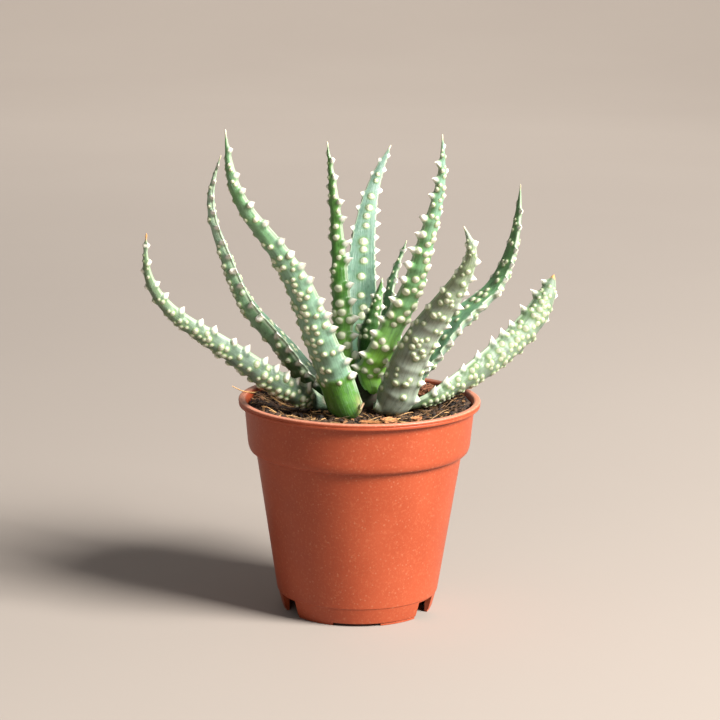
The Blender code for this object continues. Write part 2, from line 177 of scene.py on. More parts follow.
FILL_PLACES = (-0.62, -0.08, 0.1, 0.6)

# Each leaf's form, as in the solids: its whorl, the bearings of its root and of its inner face,
# its width, how late it tapers, the lengths of its neck and of its bare root, its twist from
# root to tip, its depth as a share of its width, and its path
LEAVES = {
    "leaf_far_left": dict(
        whorl="low", root=192, face=215, width=10.5, taper=1.6, neck=22, bare=14, twist=(45, 50),
        flesh=0.42,
        path=[(-10, -4, 78), (-20, -9, 80.5), (-35, -22, 92), (-51, -33, 106), (-68, -43, 121),
              (-74, -48, 134), (-74, -50, 148)]),
    "leaf_left": dict(
        whorl="low", root=145, face=168, width=13, taper=1.2, neck=14, bare=12, twist=(0, 30),
        flesh=0.58,
        path=[(-8, 4, 79), (-17, 6, 83), (-29, 7, 97), (-42, 10, 112), (-50, 12, 129),
              (-56, 11, 151), (-52, 8, 169)]),
    "leaf_front_left": dict(
        whorl="low", root=248, face=240, width=15.5, taper=1.4, neck=9, bare=20,
        path=[(-5, -15, 77.5), (-8, -17, 83), (-10, -18, 90), (-15, -23, 104), (-22, -31, 125),
              (-34, -40, 146), (-43, -46, 161), (-47, -48, 184)]),
    "leaf_middle_left": dict(
        whorl="middle", root=215, face=235, width=8.5, taper=1.6, neck=12, bare=10,
        path=[(-5, -6, 89), (-7, -5, 98), (-7, -4, 109), (-8, -3, 122), (-9, -1, 137),
              (-11, 1, 160), (-13, 3, 175)]),
    "leaf_back": dict(
        whorl="middle", root=95, face=92, width=13, taper=1.8, neck=12, bare=12,
        path=[(0, 8, 91), (0, 13, 106), (0, 23, 121), (1, 34, 136), (3, 42, 148), (6, 47, 158),
              (11, 51, 169)]),
    "leaf_small": dict(
        whorl="middle", root=15, face=40, width=7, taper=1.5, neck=12, bare=10,
        path=[(9, 1, 98), (10, 5, 108), (11, 9, 118), (13, 12, 126), (17, 16, 137)]),
    "leaf_heart": dict(
        whorl="heart", root=270, face=270, width=8, taper=1.5, neck=12, bare=8,
        path=[(2, -2, 98), (3, -2, 104), (5, -1, 112), (8, 2, 125)]),
    "leaf_middle_right": dict(
        whorl="middle", root=295, face=300, width=12, taper=1.4, neck=12, bare=8,
        path=[(5, -8, 87), (7, -10, 96), (13, -14, 110), (19, -18, 124), (24, -22, 144),
              (28, -25, 164), (28, -26, 181)]),
    "leaf_front_right": dict(
        whorl="low", root=308, face=262, width=14.3, taper=1.7, neck=12, bare=12,
        path=[(9, -11.5, 78), (13, -14, 83), (16, -16, 92), (21, -19, 104), (31, -24.5, 121),
              (37, -27, 132), (39, -28, 139), (36, -29, 149)]),
    "leaf_right": dict(
        whorl="low", root=60, face=35, width=13, taper=1.6, neck=14, bare=12, twist=(8, -5),
        flesh=0.45,
        path=[(9, 7, 80), (21, 7, 88), (30, 10, 98), (39, 15, 108), (50, 21, 117),
              (56, 25, 128), (59, 28, 141), (60, 30, 157)]),
    "leaf_far_right": dict(
        whorl="low", root=5, face=355, width=11, taper=8, neck=40, bare=14, twist=(-20, -85),
        path=[(14, -3, 78), (20, -4, 78), (32, 1, 82), (43, 8, 87), (53, 15, 93.5),
              (63, 22, 102), (70, 28, 112), (74, 33, 122)]),
}

# Each leaf's skin: the colours of its root, blade and upper end on the outer face, of the low and
# high inner face, of the flank at place -1 and of the spine; the brightness of its tubercles'
# caps; the share of waxy film; where the root's colour ends and how softly; the share of places
# between the solids' tubercles that grow one; the tubercles' size; the share of the length above
# which fewer grow; the extra ones on the inner face as (places, pitch, size); and how long the
# teeth are on either margin
CREAM = (0.57, 0.60, 0.42)
SKIRT = (0.21, 0.29, 0.09)
HALO = (0.14, 0.24, 0.08)
RIM_PALE = (0.32, 0.40, 0.27)
TOOTH_WHITE = (0.74, 0.72, 0.62)
DRY_SHEATH = (0.42, 0.25, 0.15)
SKINS = {
    "leaf_far_left": dict(
        root=(0.045, 0.08, 0.042), blade=(0.085, 0.135, 0.09), upper=(0.12, 0.19, 0.09),
        inner=((0.07, 0.13, 0.08), (0.11, 0.18, 0.11)), flank=(0.09, 0.125, 0.04),
        spine=(0.75, 0.30, 0.08), caps=0.60, film=0.3, root_end=(0.10, 0.08), fill=0.65, size=0.95,
        high=0.72, inner_rows=((0.3,), 9.0, 0.7), teeth=(0.5, 0.75)),
    "leaf_left": dict(
        root=(0.012, 0.07, 0.008), blade=(0.17, 0.32, 0.16), upper=(0.32, 0.46, 0.33),
        inner=((0.11, 0.22, 0.15), (0.26, 0.38, 0.29)), flank=(0.06, 0.20, 0.03),
        spine=(0.75, 0.70, 0.45), caps=0.85, film=0.25, root_end=(0.30, 0.16), fill=0.3, size=0.95,
        high=0.80, inner_rows=((0.45, -0.4), 7.0, 0.75), teeth=(0.8, 0.8)),
    "leaf_front_left": dict(
        root=(0.085, 0.24, 0.028), blade=(0.17, 0.31, 0.20), upper=(0.10, 0.25, 0.07),
        inner=((0.13, 0.28, 0.15), (0.22, 0.38, 0.24)), flank=(0.08, 0.25, 0.04),
        spine=(0.80, 0.75, 0.50), caps=0.88, film=0.5, root_end=(0.175, 0.006), fill=0.9, size=0.95,
        high=0.52, inner_rows=((0.0,), 12.0, 0.8), teeth=(0.45, 0.85)),
    "leaf_middle_left": dict(
        root=(0.17, 0.38, 0.05), blade=(0.05, 0.19, 0.015), upper=(0.08, 0.21, 0.04),
        inner=((0.10, 0.25, 0.08), (0.16, 0.30, 0.14)), flank=(0.03, 0.13, 0.006),
        spine=(0.75, 0.75, 0.45), caps=0.85, film=0.05, root_end=(0.25, 0.12), fill=0.45, size=1.2,
        high=0.55, inner_rows=((0.0,), 12.0, 0.8), teeth=(0.6, 1.15)),
    "leaf_back": dict(
        root=(0.05, 0.15, 0.04), blade=(0.08, 0.19, 0.08), upper=(0.13, 0.26, 0.14),
        inner=((0.085, 0.18, 0.115), (0.14, 0.24, 0.18)), flank=(0.08, 0.20, 0.07),
        spine=(0.75, 0.75, 0.50), caps=0.90, film=0.4, root_end=(0.2, 0.1), fill=0.5, size=1.1,
        high=0.80, inner_rows=((-0.08,), 7.0, 1.2), teeth=(0.6, 0.55)),
    "leaf_small": dict(
        root=(0.04, 0.15, 0.02), blade=(0.05, 0.17, 0.03), upper=(0.12, 0.28, 0.10),
        inner=((0.06, 0.20, 0.06), (0.12, 0.28, 0.12)), flank=(0.03, 0.14, 0.01),
        spine=(0.75, 0.75, 0.45), caps=0.90, film=0.1, root_end=(0.2, 0.1), fill=0.3, size=0.95,
        high=0.85, inner_rows=((0.2,), 7.0, 0.8), teeth=(0.75, 0.75)),
    # The heart leaf's own dark green is darkened further as painted shade between the inner leaves
    "leaf_heart": dict(
        root=(0.02, 0.08, 0.006), blade=(0.02, 0.09, 0.006), upper=(0.05, 0.17, 0.02),
        inner=((0.04, 0.14, 0.02), (0.06, 0.18, 0.04)), flank=(0.012, 0.06, 0.004),
        spine=(0.6, 0.65, 0.35), caps=0.90, film=0.03, root_end=(0.2, 0.1), fill=0.05, size=0.8,
        high=0.85, inner_rows=((0.0,), 9.0, 0.7), teeth=(0.7, 0.7)),
    "leaf_middle_right": dict(
        root=(0.20, 0.46, 0.05), blade=(0.13, 0.31, 0.12), upper=(0.22, 0.38, 0.28),
        inner=((0.13, 0.31, 0.15), (0.20, 0.38, 0.25)), flank=(0.08, 0.25, 0.05),
        spine=(0.80, 0.75, 0.45), caps=0.90, film=0.3, root_end=(0.28, 0.14), fill=0.75, size=1.2,
        high=0.88, inner_rows=((0.0,), 9.0, 0.9), teeth=(1.2, 0.5)),
    # The front right leaf's root colour is partly its own dark olive and partly painted shadow at
    # its foot
    "leaf_front_right": dict(
        root=(0.06, 0.07, 0.025), blade=(0.22, 0.25, 0.19), upper=(0.20, 0.25, 0.13),
        inner=((0.18, 0.26, 0.17), (0.22, 0.32, 0.20)), flank=(0.24, 0.24, 0.15),
        spine=(0.80, 0.76, 0.45), caps=0.80, film=0.9, root_end=(0.07, 0.07), fill=0.4, size=0.92,
        high=0.85, inner_rows=((0.0,), 9.0, 0.8), teeth=(0.3, 0.7)),
    "leaf_right": dict(
        root=(0.12, 0.21, 0.13), blade=(0.20, 0.30, 0.21), upper=(0.14, 0.24, 0.11),
        inner=((0.13, 0.29, 0.16), (0.10, 0.25, 0.08)), flank=(0.20, 0.30, 0.22),
        spine=(0.75, 0.70, 0.45), caps=0.80, film=0.3, root_end=(0.15, 0.1), fill=0.6, size=0.9,
        high=0.80, inner_rows=((-0.35, 0.3), 7.5, 0.95), teeth=(0.8, 0.5)),
    "leaf_far_right": dict(
        root=(0.075, 0.11, 0.055), blade=(0.11, 0.15, 0.10), upper=(0.15, 0.205, 0.13),
        inner=((0.095, 0.16, 0.10), (0.13, 0.20, 0.125)), flank=(0.085, 0.165, 0.05),
        spine=(0.75, 0.35, 0.10), caps=0.62, film=0.5, root_end=(0.22, 0.1), fill=0.95, size=0.85,
        high=0.95, inner_rows=((0.0,), 12.0, 0.7), teeth=(0.9, 0.5)),
}

# Coir on the peat, as in the solids: its centre, size and turn
CHIPS = {
    "coir_chip_front": dict(at=(4.0, -29.0), size=(6.5, 3.2, 2.0), turn=-20),
    "coir_chip_middle": dict(at=(10.5, -25.0), size=(5.0, 4.2, 2.4), turn=35),
    "coir_chip_right": dict(at=(20.5, -23.0), size=(5.5, 2.8, 2.2), turn=70),
}
CLOD_AT = (24.0, 19.0)
CLOD_SIZE = (13.0, 9.0, 7.5)
COIR_Z = SOIL_Z + 0.8
CLOD_MIDDLE = 2.2
CLOD_FIBRES = 70
CRUMBS = 3200
FIBRES = 820
BATCH = 60
# Long single fibres as (points, radius, share of the light colour)
LONG_FIBRES = [
    ([(-47.7, 3.6, 83), (-44.6, 4.6, 81.2), (-37, 15.4, 78), (-31.1, 5.3, 77.4), (-26, -2.2, 76.8),
      (-21.4, -6.7, 77.6)], 0.32, 0.95),
    ([(-39.8, 18.2, 79.5), (-35, 14, 78.6), (-30.8, 10.6, 77)], 0.24, 0.8),
    ([(-14, -30, 76.6), (-10, -33, 77.2), (-4, -34, 76.8), (3, -33, 77.4)], 0.16, 0.9),
    ([(12, -35, 77.3), (18, -31, 76.4), (25, -28, 76.6), (31, -24, 77.5)], 0.15, 0.85),
]
CHIP_STRANDS = 90
STRAND_SIDES = 4
STRAND_STEPS = 5

# Floor, in metres
FLOOR_RADIUS = 4.2
FLOOR_BEND = 2.4
WALL_TOP = 3.4
FLOOR_DROP = 0.00005
FLOOR_STEPS = 128


class Finish:
    """A Principled material that is put together node by node."""

    def __init__(self, name):
        self.material = bpy.data.materials.new(name)
        self.material.use_nodes = True
        self.nodes = self.material.node_tree.nodes
        self.links = self.material.node_tree.links
        self.shader = self.nodes["Principled BSDF"]

    def feed(self, socket, value):
        """Link an output to a socket, or set a plain value on it."""
        if isinstance(value, bpy.types.NodeSocket):
            self.links.new(value, socket)
        elif isinstance(value, tuple) and socket.type == "RGBA":
            socket.default_value = (*value, 1.0)
        else:
            socket.default_value = value

    def made(self, kind, output, inputs, **settings):
        """One output of a new node with the inputs and settings that are given."""
        node = self.nodes.new("ShaderNode" + kind)
        for name, value in settings.items():
            setattr(node, name, value)
        for socket, value in inputs.items():
            self.feed(node.inputs[socket], value)
        return node.outputs[output]

    def place(self):
        """The point on the piece, in metres."""
        return self.made("TexCoord", "Object", {})

    def height(self):
        """The point's height on the piece, in metres."""
        return self.made("SeparateXYZ", "Z", {"Vector": self.place()})

    def surface_map(self, name):
        """The piece's own UV map."""
        return self.made("UVMap", "UV", {}, uv_map=name)

    def attribute(self, name):
        """A number kept at each point of the mesh."""
        return self.made("Attribute", "Fac", {}, attribute_name=name)

    def stretched(self, where, scale):
        """Coordinates scaled by a different amount along each axis."""
        return self.made("Mapping", "Vector", {"Vector": where, "Scale": scale})

    def noise(self, where, scale, detail=3.0, roughness=0.55):
        """Soft random clouds, so many to a unit of the coordinates."""
        return self.made("TexNoise", "Fac", {"Vector": where, "Scale": scale, "Detail": detail,
                                             "Roughness": roughness})

    def cells(self, where, scale):
        """Distance to the nearest of many scattered points."""
        return self.made("TexVoronoi", "Distance", {"Vector": where, "Scale": scale})

    def between(self, value, low, high, start=0.0, end=1.0):
        """Smooth step from start to end as value goes from low to high."""
        inputs = {"Value": value, "From Min": low, "From Max": high, "To Min": start, "To Max": end}
        return self.made("MapRange", "Result", inputs, interpolation_type="SMOOTHSTEP")

    def worked_out(self, operation, *values):
        """The result of a sum, product or other plain operation."""
        return self.made("Math", 0, dict(enumerate(values)), operation=operation)

    def mix(self, share, a, b):
        """Colour a where the share is 0 and colour b where it is 1."""
        return self.made("Mix", 2, {0: share, 6: a, 7: b}, data_type="RGBA")

    def laid(self, colour, paint, value, low, high, most=1.0):
        """Paint over a colour, from none where the value is low to most where it is high."""
        return self.mix(self.between(value, low, high, 0.0, most), colour, paint)

    def relief(self, height, distance, strength):
        """Bump of a distance in millimetres on the shader's normal."""
        inputs = {"Distance": distance * MM, "Strength": strength, "Height": height}
        self.feed(self.shader.inputs["Normal"], self.made("Bump", "Normal", inputs))

    def surface(self, **values):
        """Set the shader's sockets: base_color=..., roughness=... and so on."""
        for name, value in values.items():
            socket = "Specular IOR Level" if name == "specular" else name.replace("_", " ").title()
            self.feed(self.shader.inputs[socket], value)
        return self.material


def leaf_skin(name, root, blade, upper, inner, flank, spine, caps, film, root_end):
    """Waxy skin: colour by the place on the leaf, with film, streaks and pale tubercles."""
    skin = Finish(name + "_skin")
    where = skin.place()
    flat = skin.surface_map("leaf")
    along = skin.attribute("along")
    across = skin.attribute("across")
    patches = skin.noise(where, 110.0, 5.0, 0.65)
    specks = skin.noise(where, 420.0, 5.0, 0.75)
    streaks = skin.noise(skin.stretched(flat, (85.0, 4.0, 1.0)), 1.0, 5.0, 0.75)
    fine_streaks = skin.noise(skin.stretched(flat, (260.0, 14.0, 1.0)), 1.0, 3.0, 0.6)
    # The root's colour ends along a ragged line
    end, softness = root_end
    ragged = skin.worked_out("MULTIPLY_ADD", patches, 0.05, -0.025)
    reached = skin.worked_out("ADD", along, ragged)
    colour = skin.mix(skin.between(along, 0.45, 0.85), blade, upper)
    colour = skin.laid(colour, flank, across, -0.15, -0.95, 0.75)
    pale = tuple(0.55 * channel + extra for channel, extra in zip(blade, (0.115, 0.145, 0.12)))
    dark = tuple(0.30 * channel for channel in blade)
    cream = tuple(caps * channel for channel in CREAM)
    colour = skin.laid(colour, pale, patches, 0.38, 0.66, film)
    colour = skin.mix(skin.between(reached, end - softness, end + softness), root, colour)
    inner_colour = skin.mix(skin.between(along, 0.35, 0.75), *inner)
    colour = skin.mix(skin.attribute("inner"), colour, inner_colour)
    colour = skin.laid(colour, dark, streaks, 0.46, 0.66, 0.45)
    colour = skin.laid(colour, pale, fine_streaks, 0.52, 0.72, 0.38)
    colour = skin.laid(colour, dark, specks, 0.52, 0.70, 0.45)
    colour = skin.laid(colour, pale, specks, 0.48, 0.32, 0.30)
    colour = skin.laid(colour, HALO, skin.attribute("halo"), 0.25, 0.95, 0.5)
    bump = skin.attribute("tubercle")
    colour = skin.laid(colour, SKIRT, bump, 0.08, 0.4, 0.75)
    colour = skin.laid(colour, cream, bump, 0.32, 0.62)
    colour = skin.laid(colour, RIM_PALE, skin.attribute("rim"), 0.35, 0.95, 0.75)
    colour = skin.laid(colour, TOOTH_WHITE, skin.attribute("tooth"), 0.2, 0.6)
    dry = skin.worked_out("MULTIPLY", skin.attribute("dry"), skin.between(streaks, 0.3, 0.5))
    colour = skin.mix(dry, colour, DRY_SHEATH)
    colour = skin.laid(colour, spine, along, 0.972, 0.995)
    skin.relief(skin.worked_out("ADD", streaks, fine_streaks), 0.16, 0.8)
    rough = skin.between(patches, 0.3, 0.7, 0.36, 0.54)
    return skin.surface(base_color=colour, roughness=rough, subsurface_weight=0.05,
                        subsurface_radius=(0.0012, 0.0018, 0.0006), subsurface_scale=1.0)


def pot_plastic():
    """Matt moulded plastic: terracotta colour with fine pale grains, and a paler band on the rim's
    top that is painted highlight and partly wear.
    """
    plastic = Finish("terracotta_plastic")
    where = plastic.place()
    clouds = plastic.noise(where, 45.0, 4.0, 0.6)
    grain = plastic.noise(where, 1000.0, 3.0, 0.75)
    specks = plastic.cells(where, 480.0)
    colour = plastic.mix(plastic.between(clouds, 0.3, 0.7), TERRACOTTA, TERRACOTTA_LIGHT)
    colour = plastic.laid(colour, (0.46, 0.13, 0.055), grain, 0.50, 0.72, 0.45)
    colour = plastic.mix(plastic.between(specks, 0.08, 0.22, 0.22, 0.0), colour, (0.55, 0.26, 0.15))
    # Paler band along the rim's top: painted highlight on the edge, partly wear
    highlight_and_wear = plastic.worked_out("MULTIPLY", plastic.between(plastic.height(), *RIM_HIGHLIGHT_AND_WEAR), grain)
    colour = plastic.mix(highlight_and_wear, colour, (0.60, 0.30, 0.20))
    plastic.relief(grain, 0.06, 0.6)
    rough = plastic.between(clouds, 0.3, 0.7, 0.42, 0.52)
    return plastic.surface(base_color=colour, roughness=rough, specular=0.4)


def peat_earth():
    """Dark moist peat with paler grains."""
    peat = Finish("peat_earth")
    where = peat.place()
    clouds = peat.noise(where, 160.0, 4.0, 0.6)
    grain = peat.noise(where, 1500.0, 3.0, 0.7)
    colour = peat.mix(peat.between(clouds, 0.3, 0.7), PEAT_BLACK, PEAT_BROWN)
    colour = peat.laid(colour, (0.075, 0.037, 0.017), grain, 0.5, 0.75, 0.5)
    peat.relief(grain, 0.3, 0.8)
    return peat.surface(base_color=colour, roughness=0.92)


def crumb_earth():
    """Peat crumbs, each of its own brown."""
    earth = Finish("crumb_earth")
    where = earth.place()
    tone = earth.attribute("tone")
    grain = earth.noise(where, 1800.0, 2.0, 0.6)
    colour = earth.mix(earth.between(tone, 0.0, 0.7), (0.006, 0.003, 0.002), (0.036, 0.017, 0.007))
    colour = earth.laid(colour, (0.24, 0.105, 0.042), tone, 0.8, 1.0)
    colour = earth.laid(colour, (0.12, 0.06, 0.028), grain, 0.5, 0.8, 0.5)
    return earth.surface(base_color=colour, roughness=0.9)


def coir_fibre(name, dark, light):
    """Coconut fibre, each strand of its own brown, with fine lengthwise grain."""
    fibre = Finish(name)
    where = fibre.place()
    grain = fibre.noise(where, 900.0, 3.0, 0.7)
    colour = fibre.mix(fibre.attribute("tone"), dark, light)
    colour = fibre.laid(colour, dark, grain, 0.4, 0.75, 0.5)
    fibre.relief(grain, 0.15, 0.6)
    return fibre.surface(base_color=colour, roughness=0.7)


def stem_bark():
    """Stem between the leaf bases: dull green with brown scars, both darkened as painted shade
    between the leaf bases.
    """
    bark = Finish("stem_bark")
    where = bark.place()
    scars = bark.noise(bark.stretched(where, (1.0, 1.0, 4.0)), 160.0, 4.0, 0.6)
    # Both colours are very dark: the stem's own dull green and brown, darkened as painted shade
    # among the leaf bases
    colour = bark.mix(bark.between(scars, 0.4, 0.6), (0.030, 0.036, 0.010), (0.035, 0.018, 0.007))
    bark.relief(scars, 0.4, 0.8)
    return bark.surface(base_color=colour, roughness=0.75)


def stored(name, bm, scale=1.0):
    """A bmesh kept as a mesh, scaled, and let go."""
    bmesh.ops.scale(bm, vec=(scale, scale, scale), verts=bm.verts)
    mesh = bpy.data.meshes.new(name)
    bm.to_mesh(mesh)
    bm.free()
    return mesh


def shown(name, data):
    """A new object in the scene that holds the data."""
    thing = bpy.data.objects.new(name, data)
    bpy.context.scene.collection.objects.link(thing)
    return thing


def finish_piece(name, bm, material, node=None, smooth=60.0):
    """Store a bmesh in millimetres as a piece in metres that rides with the pot."""
    mesh = stored(name, bm, MM)
    mesh.materials.append(material)
    mesh.shade_smooth()
    mesh.set_sharp_from_angle(angle=math.radians(smooth))
    return declare(shown(name, mesh), node)


def declare(piece, node):
    """Ride the piece on the pot's body, and hide the solid that it stands for."""
    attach(piece, ROOT)
    if node:
        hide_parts(node)
    return piece


def smooth_path(points, samples=PATH_SAMPLES):
    """Natural cubic spline through the points, sampled at even lengths, and its length."""
    knots = np.array(points, float)
    chords = np.linalg.norm(np.diff(knots, axis=0), axis=1)
    t = np.concatenate([[0.0], np.cumsum(chords)])
    n = len(knots)
    system = np.eye(n)
    right = np.zeros((n, 3))
    for i in range(1, n - 1):
        before, after = chords[i - 1], chords[i]
        system[i, i - 1:i + 2] = before, 2 * (before + after), after
        right[i] = 6 * ((knots[i + 1] - knots[i]) / after - (knots[i] - knots[i - 1]) / before)
    bend = np.linalg.solve(system, right)
    x = np.linspace(0.0, t[-1], samples)
    k = np.clip(np.searchsorted(t, x) - 1, 0, n - 2)
    h = chords[k][:, None]
    a = (t[k + 1] - x)[:, None]
    b = (x - t[k])[:, None]
    curve = (bend[k] * a ** 3 + bend[k + 1] * b ** 3) / (6 * h)
    curve += (knots[k] / h - bend[k] * h / 6) * a + (knots[k + 1] / h - bend[k + 1] * h / 6) * b
    steps = np.linalg.norm(np.diff(curve, axis=0), axis=1)
    s = np.concatenate([[0.0], np.cumsum(steps)])
    even = np.linspace(0.0, s[-1], samples)
    return np.stack([np.interp(even, s, curve[:, i]) for i in range(3)], axis=1), float(s[-1])


class LeafForm:
    """A leaf's centre line, its frames and its section, as functions of the share of its length."""

    def __init__(self, whorl, root, face, width, taper, neck, bare, path, twist=(0, 0),
                 flesh=FLESH_SHARE):
        radius, height = WHORLS[whorl]
        turn = math.radians(root)
        outward = np.array([math.cos(turn), math.sin(turn), 0.0])
        start = np.array([*STEM_CENTRE, height]) + radius * outward
        leaving = outward if radius else np.array([0.0, 0.0, 1.0])
        self.centre, self.length = smooth_path([start, start + leaving * ROOT_RUN] + path)
        self.width = width
        self.taper = taper
        self.neck = neck
        self.bare = bare
        self.flesh = flesh
        looks = math.radians(face)
        side = np.array([-math.sin(looks), math.cos(looks), 0.0])
        self.along = np.gradient(self.centre, axis=0)
        self.along /= np.linalg.norm(self.along, axis=1)[:, None]
        across = side - (self.along @ side)[:, None] * self.along
        across /= np.linalg.norm(across, axis=1)[:, None]
        inward = np.cross(self.along, across)
        angle = np.radians(np.linspace(twist[0], twist[1], len(across)))[:, None]
        self.across = across * np.cos(angle) + inward * np.sin(angle)
        self.inward = inward * np.cos(angle) - across * np.sin(angle)

    def width_at(self, u):
        """Width from margin to margin, narrow at the neck and tapering to the tip."""
        grown = np.minimum(1.0, u * self.length / self.neck)
        neck = NECK_SHARE + (1.0 - NECK_SHARE) * grown * grown * (3.0 - 2.0 * grown)
        return np.maximum(TIP_WIDTH, self.width * neck * (1.0 - u ** self.taper) ** TIP_POWER)

    def smallness(self, u):
        """How much smaller growths are where the leaf is narrow: 1 where it is wide."""
        wide = min(1.0, float(self.width_at(np.array(u))) / FULL_WIDTH)
        return LEAST_GROWTH + GROWTH_RANGE * wide


def read_at(table, u):
    """Rows of a table at shares u of its length."""
    shares = np.linspace(0.0, 1.0, len(table))
    return np.stack([np.interp(u, shares, table[:, k]) for k in range(3)], axis=-1)


def growths(form, seed):
    """Teeth as (share, way, size), tubercles as (share, place, face), drawn as in the solids."""
    stations = round(form.length / STATION_PITCH)
    bare_rows = round(form.bare / STATION_PITCH)
    rng = random.Random(seed)
    teeth = []
    for way in (-1, 1):
        row = bare_rows + rng.randint(0, 1)
        while row < stations - 1:
            teeth.append(((row + 0.5) / stations, way, rng.uniform(*TOOTH_SIZES)))
            row += rng.choice(TOOTH_STEPS)
    tubercles = []
    for face, places, share, steps in (
        (-1, OUTER_PLACES, OUTER_SHARE, OUTER_STEPS),
        (1, INNER_PLACES, INNER_SHARE, INNER_STEPS),
    ):
        row = bare_rows
        while row < TUBERCLE_END * stations:
            chosen = [place for place in places if rng.random() < share]
            tubercles += [((row + 0.5) / stations, place, face) for place in chosen]
            row += rng.choice(steps)
    return teeth, tubercles


def strewn(form, tubercles, fill, size, high, inner_rows, seed):
    """The tubercles moved off their grid, with smaller ones between, and the rows they stand in."""
    rng = random.Random(seed)
    made = []

    def grow(u, place, face, scale, slip, sway):
        """Add a tubercle near a place where it stands clear of the others, if there is one."""
        for _ in range(TRIES):
            spot = u + rng.uniform(-slip, slip) / form.length
            at = place + rng.uniform(-sway, sway)
            half = float(form.width_at(np.array(spot))) / 2
            reach = TUBERCLE_RADIUS * form.smallness(spot)
            if all(side != face or math.hypot((spot - v) * form.length, (at - other) * half * 1.15)
                   > SPACING * reach * (scale + grown) for v, other, side, grown in made):
                made.append((spot, at, face, scale))
                return

    def kept(u):
        """Chance of growing so far along: fewer above the share that is named high."""
        return 1.0 - THINNING * min(1.0, max(0.0, (u - high) / THINNING_RUN))

    for u, place, face in tubercles:
        if face > 0 or abs(place) > 0.6 or rng.random() < kept(u):
            grow(u, place, face, size * rng.uniform(0.88, 1.12), 0.8, 0.1)
    bands = sorted({u for u, place, face in tubercles if face < 0})
    for u in bands:
        for place in FILL_PLACES:
            if rng.random() < fill * kept(u):
                grow(u, place, -1, size * rng.uniform(0.66, 0.95), 2.4, 0.2)
    places, pitch, scale = inner_rows
    for k in range(int((0.9 * form.length - form.bare) / pitch)):
        u = (form.bare + pitch * (k + 0.5)) / form.length
        for place in places:
            grow(u, place, 1, scale * rng.uniform(0.8, 1.15), 0.3 * pitch, 0.12)
    return made, bands


def section():
    """Round a leaf's section: place across, face (+1 inner, 0 margin, -1 outer), margin angle."""
    def eased(columns):
        """Places from one margin to the other, closer together at both."""
        even = np.linspace(1.0, -1.0, columns + 1)
        round_ones = np.cos(np.linspace(0.0, np.pi, columns + 1))
        return COSINE_SHARE * round_ones + (1 - COSINE_SHARE) * even

    inner = eased(INNER_COLUMNS)
    margin = np.linspace(np.pi / 2, -np.pi / 2, MARGIN_COLUMNS + 1)[1:-1]
    outer = -eased(OUTER_COLUMNS)
    flat_in = np.ones(len(inner))
    flat_out = np.ones(len(outer))
    edge = np.ones(len(margin))
    place = np.concatenate([inner, -edge, outer, edge, inner[:1]])
    face = np.concatenate([flat_in, 0 * edge, -flat_out, 0 * edge, flat_in[:1]])
    angle = np.concatenate([0 * flat_in, margin, 0 * flat_out, -margin, np.zeros(1)])
    return place, face, angle


def held(values):
    """Values kept between 0 and 1."""
    return np.clip(values, 0, 1)


